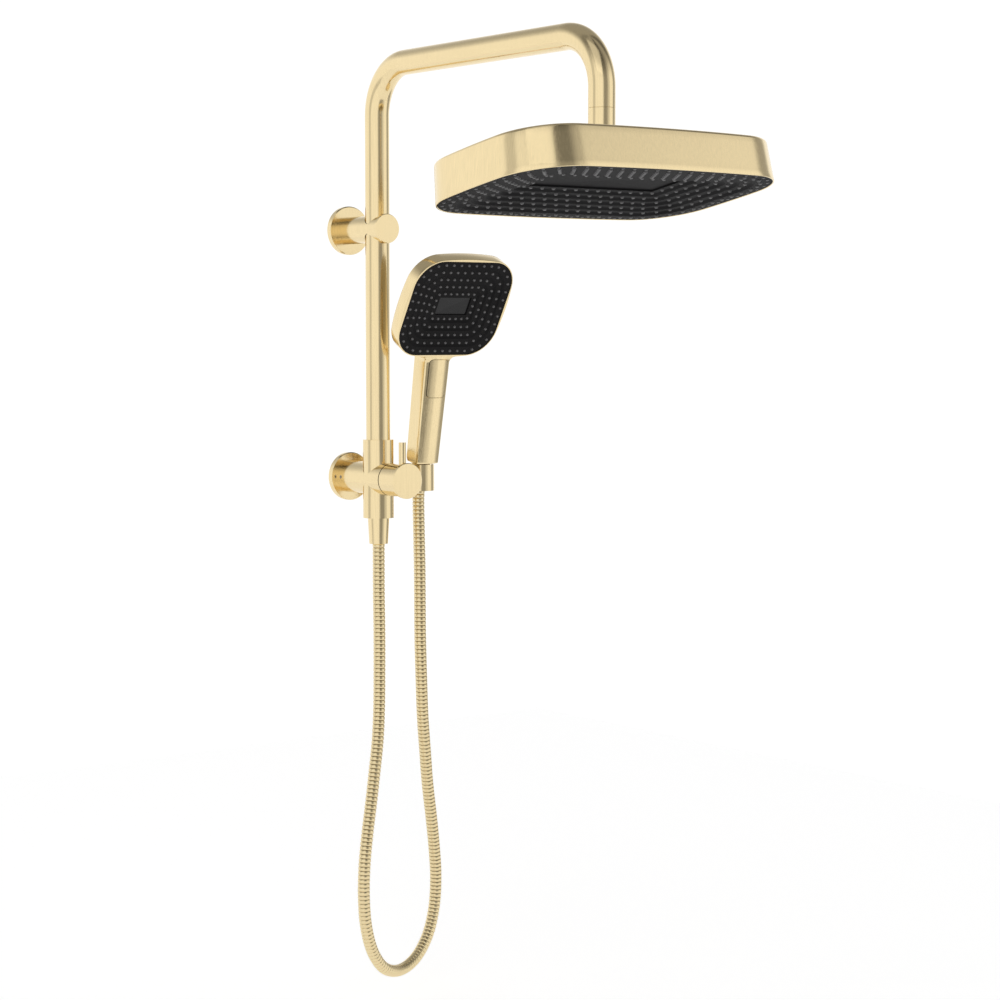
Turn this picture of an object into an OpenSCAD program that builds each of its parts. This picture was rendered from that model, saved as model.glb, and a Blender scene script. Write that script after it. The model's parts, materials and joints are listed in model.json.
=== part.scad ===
// Rainfall shower column: a wall-held diverter with a riser and arm in one bent tube,
// a tilting rain head, a handset in a holder cup and the hose that feeds it.
// Origin: centre of the wall inlet, on the wall face. -Y points out from the wall, +Z up.

/* [Column] */
// Outside diameter of the riser and arm tube
tube_d = 25; // [24:0.5:25]
// Wall thickness of the tube
tube_wall = 1.5; // [1:0.1:2]
// Distance from the wall to the riser axis
standoff = 55; // [55:1:60]
// Horizontal reach from the riser axis to the drop axis
reach = 355; // [300:5:400]
// Height of the arm axis above the wall inlet
arm_height = 422; // [410:2:500]
// Centreline radius of the two tube bends
bend_r = 50; // [45:1:55]
// Height of the upper bracket above the wall inlet
bracket_height = 257; // [240:1:280]

/* [Diverter] */
// Radius of the horizontal barrel of the diverter
barrel_r = 16.75; // [16.5:0.05:17]
// Radius of the vertical sockets
socket_r = 16; // [16:0.1:16.5]
// Half height of the vertical sockets
socket_half = 40.5; // [39:0.5:42]
// Distance from the wall to the front face of the barrel
barrel_front = 78; // [78:0.5:80]
// Radius of the two wall flanges
flange_r = 25.2; // [24:0.1:30]
// Thickness of the two wall flanges
flange_t = 5; // [4:0.5:6]
// Radius of the knob's front cap
knob_cap_r = 18.3; // [17.5:0.1:19]
// Length of the lever pin above the knob barrel
pin_reach = 22.4; // [15:0.1:28]

/* [Rain head] */
// Half width of the rain head at its lower edge
head_a = 155; // [150:0.5:160]
// Half depth of the rain head at its lower edge
head_b = 96; // [90:1:105]
// Height of the rain head's side wall
head_h = 38; // [36:0.5:39]
// Corner radius of the rain head
head_corner = 59; // [58:1:62]
// How far the side wall leans in towards the top
head_draft = 2.6; // [2:0.1:3]
// Tilt of the head from level, outer edge up
head_tilt = 10.4; // [0:0.1:12]

/* [Handset] */
// Half width of the handset head
hand_a = 64; // [60:0.5:66]
// Half height of the handset head
hand_b = 57; // [54:0.5:58]
// Thickness of the handset head
hand_t = 16; // [15:0.5:17]
// Lean of the handle out from the wall
hand_lean = 8.7; // [6:0.1:9]
// Width of the handle
handle_w = 28.5; // [27:0.5:30]
// Depth of the handle
handle_t = 23.5; // [23:0.5:24]

/* [Hose] */
// Outside diameter of the hose
hose_d = 12.8; // [12:0.1:13]

/* [Hidden] */
$fn = 96;

gold = [0.83, 0.71, 0.50];
brass = [0.72, 0.58, 0.30];
black = [0.10, 0.10, 0.11];
rubber = [0.16, 0.16, 0.17];
steel = [0.70, 0.70, 0.72];
nylon = [0.88, 0.88, 0.84];

eps = 0.02;          // sliding clearance between fixed nested pieces
run = 0.05;          // radial running clearance of a turning fit
tube_r = tube_d / 2;
bore_r = tube_r - tube_wall;
thread_r = 10.48;    // wall radius of a G1/2 female thread at its nominal diameter
hose_thread_r = 9.4; // wall radius at the root of the hose thread
drop_y = -standoff - reach;
socket_floor = 16;   // height of the shoulder that the riser stands on

// drop end, from the tube seam down to the ball
seam_z = 353.4;
ball_z = 320;
ball_r = 9.5;
cavity_r = 11.55;

// rain head heights, measured down from the ball centre in the head's own frame
head_top = -7.6;
head_bottom = head_top - head_h;
skin = 1.8;          // wall thickness of the plated shells
rain_face = head_bottom + 0.4;
rain_step = 2;     // rise of one terrace of the dished face
rain_rows = 6;       // terraces inside the outer band
rain_inset = [12.3, 11.3]; // width of one terrace
dish = [147, 88.5, 52]; // half sizes and corner radius of the dished face
chamber = [145.5, 87, 51]; // half sizes and corner radius of the water chamber
nozzle_pitch = 13.2; // spacing of the rain nozzles along a row
rain_roof = rain_face + rain_step * rain_rows;

// holder cup and handset
cup_pos = [50.8, -58.2, 0];
cup_r = 15;
cup_top = 13.3;
cup_low = -14.2;
nut_low = -13;
nut_high = 14;
handle_front = -14;
handle_front_top = -17.1;
handle_top = 135;
handle_low = 16.3;
face_pos = [0, -36.6, 182.4];
face_tilt = 21;
hand_step = 1.2;
hand_rows = 5;
hand_inset = [8.2, 8.8];
hand_dish = [61, 54, 30];
hand_face = 0.8;
button_mid = 106.8;
button_front = -16.4;

// route of the hose's centreline, from the outlet nut round the loop to the handset nut
hose_route = [[0, -55, -67.5], [0, -55, -90], [0, -55, -120], [0.5, -55, -160],
    [0, -55.5, -201], [-2, -57.5, -239.5], [-6.5, -61, -273.5], [-13.4, -65, -305],
    [-20.8, -69.5, -335], [-28.4, -73.5, -366], [-34.2, -76.5, -397.5], [-35.8, -77.3, -430.5],
    [-32.2, -76, -463], [-20.8, -71.5, -492.5], [-1.2, -64, -514.5], [25.5, -54, -523.5],
    [52.6, -44.6, -517.5], [74.8, -36.5, -498], [87.2, -31.8, -469.5], [90.3, -30.8, -436.5],
    [86.8, -32.5, -401.5], [80.3, -36, -366.5], [72.3, -40.7, -330.5], [65.2, -46.3, -294],
    [58.7, -51, -254.5], [54.2, -55, -212.5], [51.5, -57, -170], [50.8, -57.6, -130],
    [50.8, -57.3, -95], [50.8, -56.3, -62], [50.8, -55.5, -34], [50.8, -55.5, -22],
    [50.8, -56.2, -13.32]];
hose_sides = 10;
hose_rings_per_step = 2;

// ---- frames ----

// +Z of the children points out from the wall
module outward(depth = 0) { translate([0, -depth, 0]) rotate([90, 0, 0]) children(); }

// +Z of the children points along -Y from a given height
module at_bracket() { translate([0, 0, bracket_height]) children(); }

module at_riser() { translate([0, -standoff, 0]) children(); }

module at_drop() { translate([0, drop_y, 0]) children(); }

module at_head() { translate([0, drop_y, ball_z]) rotate([-head_tilt, 0, 0]) children(); }

module at_handset() { translate(cup_pos) rotate([hand_lean, 0, 0]) children(); }

// the face's outline lies in XY of the children, +Z points into the handset
module at_face() {
    at_handset() translate(face_pos) rotate([face_tilt, 0, 0]) rotate([-90, 0, 0])
        mirror([0, 1, 0]) children();
}

// ---- shared shapes ----

// ring or tube between two heights
module ring(r_out, r_in, z0, z1) {
    difference() {
        translate([0, 0, z0]) cylinder(r = r_out, h = z1 - z0);
        translate([0, 0, z0 - 1]) cylinder(r = r_in, h = z1 - z0 + 2);
    }
}

module disc(r, z0, z1) { translate([0, 0, z0]) cylinder(r = r, h = z1 - z0); }

// rectangle with round corners, given by its half sizes
module round_rect(a, b, r) {
    square([2 * a, 2 * (b - r)], center = true);
    square([2 * (a - r), 2 * b], center = true);
    for (x = [-1, 1], y = [-1, 1]) translate([x * (a - r), y * (b - r)]) circle(r = r);
}

// part of the big circle that crowns one side of length 2*half by sag, from x = 0 outwards
module side_sector(reach_out, half, sag, corner, sides) {
    big_r = (half * half + sag * sag) / (2 * sag);
    centre_x = reach_out - corner - big_r;
    slope = half / (reach_out - corner - sag - centre_x);
    y_in = -slope * centre_x;
    x_out = 2 * reach_out;
    y_out = slope * (x_out - centre_x);
    intersection() {
        translate([centre_x, 0]) circle(r = big_r + corner, $fn = sides);
        polygon([[0, y_in], [x_out, y_out], [x_out, -y_out], [0, -y_in]]);
    }
}

// rectangle with round corners and gently crowned sides
module crowned_rect(a, b, corner, sag_x, sag_y, sides = 360) {
    corner_x = a - corner - sag_x;
    corner_y = b - corner - sag_y;
    for (m = [0, 1]) mirror([m, 0]) side_sector(a, corner_y, sag_x, corner, sides);
    for (m = [0, 1]) rotate(90) mirror([m, 0]) side_sector(b, corner_x, sag_y, corner, sides);
    for (x = [-1, 1], y = [-1, 1]) translate([x * corner_x, y * corner_y]) circle(r = corner);
    square([2 * corner_x, 2 * corner_y], center = true);
}

module head_outline(inset = 0, sides = 360) {
    crowned_rect(head_a - inset, head_b - inset, head_corner - inset, 1, 3, sides);
}

// point at distance s along a rounded rectangle's edge, starting at its right side
function edge_point(a, b, r, s) =
    let (w = 2 * (a - r), h = 2 * (b - r), q = PI * r / 2,
        side = [h, q, w, q, h, q, w, q],
        t = s % (2 * w + 2 * h + 4 * q))
    edge_step(a, b, r, t, side, 0);

function edge_step(a, b, r, t, side, i) =
    t > side[i] && i < 7 ? edge_step(a, b, r, t - side[i], side, i + 1) :
    i == 0 ? [a, -(b - r) + t] :
    i == 2 ? [(a - r) - t, b] :
    i == 4 ? [-a, (b - r) - t] :
    i == 6 ? [-(a - r) + t, -b] :
    let (turn = 90 * t / side[i] + 45 * (i - 1),
        cx = (i == 1 || i == 7 ? 1 : -1) * (a - r),
        cy = (i == 1 || i == 3 ? 1 : -1) * (b - r))
    [cx + r * cos(turn), cy + r * sin(turn)];

function edge_length(a, b, r) = 4 * (a - r) + 4 * (b - r) + 2 * PI * r;

// half sizes and corner radius of row k, or of a point between two rows
function terrace(outline, inset, k) = [outline[0] - inset[0] * k, outline[1] - inset[1] * k,
    max(outline[2] - 0.75 * inset[0] * k, 4)];

module rect_of(size, grow = 0) { round_rect(size[0] + grow, size[1] + grow, size[2] + grow); }

// face plate whose terraces rise by step towards an open middle, in a basin with a wall
module dished_plate(outline, inset, rows, step, thick, wall_h, wall_t) {
    difference() {
        union() {
            difference() {
                linear_extrude(wall_h) rect_of(outline);
                translate([0, 0, step + thick]) linear_extrude(wall_h) rect_of(outline, -wall_t);
            }
            for (k = [1 : rows - 1])
                linear_extrude(step * (k + 1) + thick) rect_of(terrace(outline, inset, k));
        }
        for (k = [1 : rows - 1]) translate([0, 0, -1])
            linear_extrude(step * k + 1) rect_of(terrace(outline, inset, k));
        middle = terrace(outline, inset, rows);
        translate([0, 0, -1]) linear_extrude(step * rows + thick + 2)
            square([2 * middle[0], 2 * middle[1]], center = true);
    }
}

// nozzle tips along the edge of a rounded rectangle, pointing to -Z
module nozzle_row(size, pitch, z, tip_r, tip_h) {
    length = edge_length(size[0], size[1], size[2]);
    count = round(length / pitch);
    for (i = [0 : count - 1]) {
        p = edge_point(size[0], size[1], size[2], length * (i + 0.5) / count);
        translate([p[0], p[1], z - tip_h]) cylinder(r1 = 0.7 * tip_r, r2 = tip_r, h = tip_h, $fn = 16);
    }
}

// shallow four-sided pyramid in a rectangular frame, rising to its middle
module pyramid_panel(a, b, thick, rise) {
    polyhedron(
        points = [[-a, -b, 0], [a, -b, 0], [a, b, 0], [-a, b, 0], [0, 0, rise],
            [-a, -b, thick], [a, -b, thick], [a, b, thick], [-a, b, thick]],
        faces = [[0, 1, 4], [1, 2, 4], [2, 3, 4], [3, 0, 4], [5, 8, 7, 6],
            [0, 5, 6, 1], [1, 6, 7, 2], [2, 7, 8, 3], [3, 8, 5, 0]]);
}

// ---- wall inlet and diverter ----

module inlet_union() color(brass) outward() difference() {
    ring(13 - eps, 7, 0, 22);
    disc(thread_r, -1, 12);
    ring(14, 11.8, 16, 18.2);
}

module inlet_seal() color(rubber) outward() translate([0, 0, 17.1])
    rotate_extrude() translate([12.4, 0]) circle(r = 0.56, $fn = 24);

// flange with a bevelled rim
module flange(hole_r) difference() {
    union() {
        disc(flange_r, 0, flange_t - 1);
        translate([0, 0, flange_t - 1]) cylinder(r1 = flange_r, r2 = flange_r - 1, h = 1);
    }
    disc(hole_r, -1, flange_t + 1);
}

module lower_flange() color(gold) outward() flange(barrel_r + eps);

module diverter_body() color(gold) difference() {
    union() {
        outward(0.5) disc(barrel_r, 0, barrel_front - 0.5);
        at_riser() disc(socket_r, -socket_half, socket_half);
    }
    outward() disc(13, -1, 22.5);
    outward() disc(7, 20, 42);
    outward() disc(11, 40, barrel_front + 1);
    outward() disc(13, 70, barrel_front + 1);
    at_riser() disc(8, 5, socket_floor + 1);
    at_riser() disc(tube_r + run, socket_floor, socket_half + 1);
    at_riser() for (z = [23, 31]) disc(14.6, z, z + 2.2);
    at_riser() disc(5.5, -28, -5);
    at_riser() disc(hose_thread_r + eps, -socket_half - 1, -27);
    translate([12.5, -standoff, 0]) rotate([0, 90, 0]) disc(6, 0, 6);
    for (s = [-1, 1]) translate([0, -9.8, 0]) rotate([0, s * 90, 0]) disc(2, 12, 18);
}

// headless screw with a hexagon socket, tip at z = 0
module grub_screw(length) difference() {
    disc(1.95, 0, length);
    translate([0, 0, length - 1.8]) cylinder(r = 1.1, h = 3, $fn = 6);
}

module lower_grub_screws() color(steel) {
    for (s = [-1, 1]) translate([0, -9.8, 0]) rotate([0, s * 90, 0]) translate([0, 0, 13])
        grub_screw(3.2);
}

module upper_grub_screw() color(steel) at_bracket() translate([0, -12, 0]) rotate([180, 0, 0])
    translate([0, 0, 9]) grub_screw(4.4);

module cartridge() color(nylon) outward() difference() {
    union() {
        disc(11 - eps, 42, 70);
        disc(9.5, 70, 84);
    }
    disc(5, 41, 52);
    disc(4 + run, 58, 85);
    translate([0, 0, 55]) rotate([90, 0, 0]) disc(3, -12, 12);
}

module cartridge_nut() color(brass) outward() ring(13 - eps, 9.5 + eps, 70, 80.5);

module knob_seal() color(rubber) outward() ring(15.9, 14.6, barrel_front, barrel_front + 1.1);

module riser_seals() color(rubber) at_riser() for (z = [24.1, 32.1])
    translate([0, 0, z]) rotate_extrude() translate([13.58, 0]) circle(r = 1, $fn = 24);

// ---- knob ----

knob_back = barrel_front + 1.3;
knob_front = 104.6;

module diverter_spindle() color(brass) outward() difference() {
    disc(4, 60, 96);
    disc(2, 88, 97);
}

module knob_screw() color(steel) outward() difference() {
    union() {
        disc(2 - eps, 88.5, 96);
        disc(3.4, 96, 99);
    }
    translate([0, 0, 97.4]) cylinder(r = 1.7, h = 3, $fn = 6);
}

module diverter_knob() color(gold) outward() difference() {
    disc(barrel_r, knob_back, knob_front);
    disc(14.2, knob_back - 1, 88);
    disc(4, 87, 97);
    disc(9.05, 96, knob_front + 1);
    translate([0, 0, 98]) rotate([-90, 0, 0]) disc(3.7, 10, 20);
}

module knob_cap() color(gold) outward() {
    disc(knob_cap_r, knob_front, knob_front + 2);
    translate([0, 0, knob_front + 2]) cylinder(r1 = knob_cap_r, r2 = knob_cap_r - 0.6, h = 0.6);
    disc(9, 100, knob_front);
}

module lever_pin() color(gold) translate([0, -98, 0]) disc(3.7, 10, barrel_r + pin_reach);

// ---- holder cup and hose outlet ----

module holder_cup() color(gold) difference() {
    union() {
        translate([12.6, -standoff, 0]) rotate([0, 90, 0]) disc(5.95, 0, 8);
        difference() {
            translate([8, -standoff, 0]) rotate([0, 90, 0]) disc(12, 0, cup_pos[0] - 8);
            outward() disc(barrel_r + eps, 30, 80);
            at_riser() disc(socket_r + eps, -30, 30);
        }
        translate([cup_pos[0], cup_pos[1], 0]) disc(cup_r, cup_low, cup_top);
    }
    at_handset() nut_cone(1.22, 10);
}

// the conical nut's outside, grown by gap and lengthened at both ends
module nut_cone(gap, extra) {
    slope = 1.3 / (nut_high - nut_low);
    translate([0, 0, nut_low - extra]) cylinder(r1 = 9.8 - slope * extra + gap,
        r2 = 11.1 + slope * extra + gap, h = nut_high - nut_low + 2 * extra);
}

module cup_liner() color(black) intersection() {
    at_handset() difference() {
        nut_cone(1.2, 6);
        nut_cone(0.3, 9);
    }
    translate([cup_pos[0], cup_pos[1], 0]) disc(cup_r + 3, cup_low + 0.5, cup_top - 0.6);
}

module outlet_nipple() color(brass) at_riser() ring(hose_thread_r, 5.5, -52, -27.5);

module outlet_washer() color(rubber) at_riser() ring(hose_thread_r, 4.6, -53.8, -52);

// conical hose nut with its thread upwards, wide end at z = 0
module cone_nut() difference() {
    union() {
        disc(11.1, -3, 0);
        translate([0, 0, -27]) cylinder(r1 = 9.8, r2 = 11.1, h = 24);
    }
    disc(hose_thread_r + eps, -13.3, 1);
    disc(4.5, -28, -10);
}

module outlet_cone_nut() color(gold) at_riser() translate([0, 0, -socket_half]) cone_nut();

// ---- hose ----

function spline(p, i, t) =
    let (n = len(p) - 1, a = p[max(i - 1, 0)], b = p[i], c = p[i + 1], d = p[min(i + 2, n)],
        m0 = i == 0 ? c - b : (c - a) / 2, m1 = i == n - 1 ? c - b : (d - b) / 2)
    (2 * t * t * t - 3 * t * t + 1) * b + (t * t * t - 2 * t * t + t) * m0
    + (3 * t * t - 2 * t * t * t) * c + (t * t * t - t * t) * m1;

hose_path = [for (i = [0 : len(hose_route) - 2], j = [0 : hose_rings_per_step - 1])
    spline(hose_route, i, j / hose_rings_per_step), hose_route[len(hose_route) - 1]];

function unit(v) = v / norm(v);

function tangent(p, i) = let (n = len(p) - 1) unit(p[min(i + 1, n)] - p[max(i - 1, 0)]);

function ring_points(p, i, r, sides) =
    let (t = tangent(p, i), u = unit(cross(t, [0, 1, 0])), v = cross(u, t))
    [for (k = [0 : sides - 1]) p[i] + r * (cos(360 * k / sides) * u + sin(360 * k / sides) * v)];

module swept_tube(path, r, sides) {
    rings = len(path);
    points = [for (i = [0 : rings - 1]) each ring_points(path, i, r, sides)];
    walls = [for (i = [0 : rings - 2], k = [0 : sides - 1])
        let (m = (k + 1) % sides)
        [i * sides + k, i * sides + m, (i + 1) * sides + m, (i + 1) * sides + k]];
    first = [for (k = [0 : sides - 1]) sides - 1 - k];
    last = [for (k = [0 : sides - 1]) (rings - 1) * sides + k];
    polyhedron(points = points, faces = concat(walls, [first, last]), convexity = 8);
}

module hose() color(gold) swept_tube(hose_path, hose_d / 2, hose_sides);

// ---- upper bracket ----

upper_r = 14;
upper_front = 70.4;

module upper_wall_boss() color(brass) at_bracket() outward() difference() {
    ring(9 - eps, 2.75, 0, 24);
    disc(5, 18, 25);
}

module upper_flange() color(gold) at_bracket() outward() flange(upper_r + eps);

module upper_bracket() color(gold) difference() {
    at_bracket() outward(0.5) disc(upper_r, 0, upper_front - 0.5);
    at_bracket() outward() disc(9, -1, 24.5);
    at_bracket() outward() disc(5, 69, upper_front + 1);
    at_bracket() at_riser() disc(13 + eps, -20, 20);
    at_bracket() translate([0, -12, 0]) rotate([180, 0, 0]) disc(2, 8, 16);
}

module bracket_liner() color(black) at_bracket() intersection() {
    at_riser() ring(13, tube_r + 0.1, -13, 13);
    outward() disc(upper_r - 0.4, 20, upper_front);
}

module bracket_cap() color(gold) at_bracket() outward() {
    disc(15, upper_front, upper_front + 2);
    translate([0, 0, upper_front + 2]) cylinder(r1 = 15, r2 = 14.4, h = 0.6);
    disc(5 - eps, 69.2, upper_front);
}

// ---- riser, arm and drop ----

module bent_tube(r) {
    at_riser() disc(r, socket_floor + 0.2, arm_height - bend_r);
    translate([0, -standoff - bend_r, arm_height - bend_r]) bend(r);
    translate([0, -standoff - bend_r, arm_height]) rotate([90, 0, 0])
        cylinder(r = r, h = reach - 2 * bend_r);
    translate([0, drop_y + bend_r, arm_height - bend_r]) mirror([0, 1, 0]) bend(r);
    at_drop() disc(r, seam_z, arm_height - bend_r);
}

// quarter turn in the YZ plane from +Y up to +Z, about the origin
module bend(r) rotate([90, 0, 90]) rotate_extrude(angle = 90) translate([bend_r, 0]) circle(r = r);

module riser_tube() color(gold) difference() {
    bent_tube(tube_r);
    bent_tube(bore_r);
    at_riser() disc(bore_r, 0, 30);
    at_drop() disc(bore_r, seam_z - 5, seam_z + 5);
}

module drop_adapter() color(brass) at_drop() difference() {
    union() {
        disc(bore_r - eps, seam_z, seam_z + 12);
        disc(10.4, seam_z - 10, seam_z);
    }
    disc(6, seam_z - 11, seam_z + 13);
}

module swivel_nut() color(gold) at_drop() difference() {
    disc(tube_r, 336, seam_z - 0.3);
    disc(10.42, 338.4, seam_z + 1);
    disc(5.5, 335, 340);
}

module swivel_washer() color(rubber) at_drop() ring(10.3, 4.5, 341.3, 343.3);

module swivel_ball() color(brass) at_drop() difference() {
    union() {
        translate([0, 0, ball_z]) sphere(r = ball_r);
        disc(5, ball_z, 341.2);
        disc(10.3, 338.5, 341.2);
    }
    disc(3, ball_z - 12, 342);
}

// spherical ring round the ball between two heights
module ball_zone(z0, z1) intersection() {
    difference() {
        sphere(r = cavity_r - run);
        sphere(r = ball_r + run);
    }
    disc(20, z0, z1);
}

module ball_seat() color(nylon) translate([0, drop_y, ball_z]) ball_zone(3.5, 6.3);

module ball_packing() color(rubber) translate([0, drop_y, ball_z]) ball_zone(-6.3, -2.5);

// ---- rain head ----

module ball_retainer() color(gold) at_head() difference() {
    disc(17, 0.6, 8);
    sphere(r = cavity_r);
    disc(8.9, 7, 9);
}

module rain_hub() color(brass) at_head() difference() {
    union() {
        disc(17, head_top - 2, 0.6);
        disc(24, head_top - 4.4, head_top - 2);
    }
    sphere(r = cavity_r);
    disc(6, head_top - 6, 0);
}

module tapered_block(inset, z0, z1) {
    shrink = head_draft * (z1 - z0) / head_h;
    translate([0, 0, z0]) linear_extrude(z1 - z0, slices = 1,
        scale = [1 - shrink / (head_a - inset), 1 - shrink / (head_b - inset)])
        head_outline(inset, 144, $fn = 64);
}

module rain_shell() color(gold) at_head() difference() {
    tapered_block(0, head_bottom, head_top);
    difference() {
        tapered_block(skin, head_bottom, head_top);
        disc(400, head_top - 2, head_top + 1);
    }
    disc(17 + eps, head_top - 3, head_top + 1);
}

screw_spots = [for (x = [-110, 0, 110], y = [-66, 66]) [x, y]];

module rain_chamber_cover() color(nylon) at_head() difference() {
    translate([0, 0, -14.5]) linear_extrude(2.5) rect_of(chamber);
    disc(6, -20, 0);
    for (p = screw_spots) translate([p[0], p[1], 0]) disc(2, -20, 0);
}

module rain_gasket() color(rubber) at_head() translate([0, 0, -16]) linear_extrude(1.5)
    difference() {
        rect_of(chamber);
        rect_of(chamber, -4);
    }

tray_floor = rain_roof + 4.1;

module rain_tray() color(nylon) at_head() difference() {
    union() {
        translate([0, 0, tray_floor]) linear_extrude(2) rect_of(chamber);
        translate([0, 0, tray_floor]) linear_extrude(-16 - tray_floor) difference() {
            rect_of(chamber);
            rect_of(chamber, -4);
        }
        for (p = screw_spots) translate([p[0], p[1], 0]) disc(4, tray_floor + 1, -14.5);
    }
    for (p = screw_spots) translate([p[0], p[1], 0]) disc(1.95, tray_floor + 2, 0);
    for (x = [-90, -45, 45, 90], y = [-45, 45]) translate([x, y, 0]) disc(3, -38, tray_floor + 3);
}

module rain_screws() color(steel) at_head() for (p = screw_spots) translate([p[0], p[1], 0]) {
    disc(1.93, tray_floor + 2.5, -12);
    disc(3.6, -12, -10.2);
}

module rain_face_plate() color(black) at_head() {
    difference() {
        tapered_block(2.6, rain_face, rain_face + 1.6);
        translate([0, 0, rain_face - 1]) linear_extrude(4) rect_of(dish, -0.5);
    }
    translate([0, 0, rain_face]) dished_plate(dish, rain_inset, rain_rows, rain_step, 1.6, tray_floor - rain_face, 1.6);
}

module rain_nozzles() color(rubber) at_head() {
    nozzle_row(terrace(dish, rain_inset, 0.05), nozzle_pitch, rain_face, 1.6, 0.5);
    for (k = [0 : rain_rows - 1])
        nozzle_row(terrace(dish, rain_inset, k + 0.6), nozzle_pitch,
            rain_face + rain_step * k, 1.9, 1.3);
}

rain_middle = terrace(dish, rain_inset, rain_rows);

module rain_centre_panel() color(black) at_head()
    translate([0, 0, rain_face + rain_step * (rain_rows - 1) + 1.6])
        pyramid_panel(rain_middle[0] - 0.05, rain_middle[1] - 0.05, 2.6, 1.2);

// ---- handset ----

module hose_cone_nut() color(gold) at_handset() translate([0, 0, nut_high]) cone_nut();

module hose_end_washer() color(rubber) at_handset()
    ring(hose_thread_r, 3, nut_high - 13.3, nut_high - 11.3);

// thin cross-section of the handle: flat back and sides, crowned front
module handle_slice(z, w, front, back) translate([0, 0, z]) linear_extrude(0.02) intersection() {
    translate([0, (front + back) / 2]) round_rect(w / 2, (back - front) / 2, 3, $fn = 32);
    translate([0, front + 34]) circle(r = 34, $fn = 180);
}

// the handle grows wider and deeper towards the head
module handle_body(grow = 0) hull() {
    handle_slice(handle_low, handle_w, handle_front - grow, handle_front + handle_t);
    handle_slice(handle_top, handle_w + 3, handle_front_top - grow, handle_front + handle_t - 1);
}

module head_block() at_face() linear_extrude(hand_t) crowned_rect(hand_a, hand_b, 32, 1.5, 1.5);

module handset_shell() color(gold) difference() {
    union() {
        difference() {
            at_handset() handle_body();
            at_face() translate([-60, -110, -30]) cube([120, 220, 30.8]);
        }
        hull() {
            at_handset() handle_slice(120, handle_w + 2, handle_front, handle_front + handle_t - 1);
            at_face() translate([0, -30, 6]) linear_extrude(7) round_rect(19, 16, 8, $fn = 32);
        }
        head_block();
    }
    at_face() translate([0, 0, -1]) linear_extrude(hand_t - skin + 1) rect_of(hand_dish, 0.2);
    at_handset() translate([0, 1, 0]) disc(6, 24, 120);
    at_handset() disc(3.45, 10, 26);
    at_handset() translate([0, 1, 118]) rotate([30, 0, 0]) disc(3.5, -1, 24);
    at_handset() translate([0, button_front + 5.7, button_mid]) rotate([90, 0, 0])
        linear_extrude(20) round_rect(11.8, 20.3, 4.3);
    at_handset() translate([0, handle_front + handle_t, handle_low]) rotate([-9, 0, 0])
        translate([-30, -4, -30]) cube([60, 20, 60]);
}

module handset_nipple() color(brass) at_handset() difference() {
    union() {
        disc(hose_thread_r, 3, handle_low - 0.2);
        disc(3.4, handle_low - 1, 25);
        translate([0, 1, 0]) disc(5.9, 25, 30);
    }
    disc(2, 2, 31);
}

module handset_waterway() color(nylon) at_handset() translate([0, 1, 0]) ring(5.95, 4.5, 30, 118);

module handset_water_plate() color(nylon) at_face() translate([0, 0, hand_t - skin - 1.4])
    linear_extrude(1.4) rect_of(hand_dish);

module handset_face_plate() color(black) at_face() translate([0, 0, hand_face]) difference() {
    dished_plate(hand_dish, hand_inset, hand_rows, hand_step, 1.4,
        hand_t - skin - 1.5 - hand_face, 1.5);
    translate([0, -50, 6.6]) rotate([90, 0, 0]) disc(3.2, 0, 8);
}

module handset_nozzles() color(rubber) at_face() for (k = [0 : hand_rows - 1])
    nozzle_row(terrace(hand_dish, hand_inset, k + 0.5), 9.4 - 0.5 * k,
        hand_face + hand_step * k, 1.5, 1);

hand_middle = terrace(hand_dish, hand_inset, hand_rows);

module handset_centre_panel() color(black) at_face()
    translate([0, 0, hand_face + hand_step * (hand_rows - 1) + 1.4])
        pyramid_panel(hand_middle[0] - 0.05, hand_middle[1] - 0.05, 1.7, 0.8);

module spray_button() color(gold) at_handset() intersection() {
    translate([0, button_front + 3.4, button_mid]) rotate([90, 0, 0])
        linear_extrude(20) round_rect(11.3, 19.8, 4);
    handle_body(0.3);
}

inlet_union();
inlet_seal();
lower_flange();
diverter_body();
lower_grub_screws();
cartridge();
cartridge_nut();
knob_seal();
riser_seals();
holder_cup();
cup_liner();
outlet_nipple();
outlet_washer();
outlet_cone_nut();
hose();
upper_wall_boss();
upper_flange();
upper_grub_screw();
upper_bracket();
bracket_liner();
bracket_cap();
riser_tube();
drop_adapter();
swivel_nut();
swivel_washer();
swivel_ball();
ball_seat();
ball_packing();
ball_retainer();
rain_hub();
rain_shell();
rain_chamber_cover();
rain_gasket();
rain_tray();
rain_screws();
rain_face_plate();
rain_nozzles();
rain_centre_panel();
diverter_spindle();
knob_screw();
diverter_knob();
knob_cap();
lever_pin();
hose_cone_nut();
hose_end_washer();
handset_shell();
handset_nipple();
handset_waterway();
handset_water_plate();
handset_face_plate();
handset_nozzles();
handset_centre_panel();
spray_button();
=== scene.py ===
"""Rainfall shower column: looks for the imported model.

The CAD parts keep their place. Finer meshes replace the hose, the riser tube, and the shell and
the face of each of the two heads. Every part gets a procedural material.
"""
import json
import math

import bmesh
import bpy
from mathutils import Euler, Matrix, Vector


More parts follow.
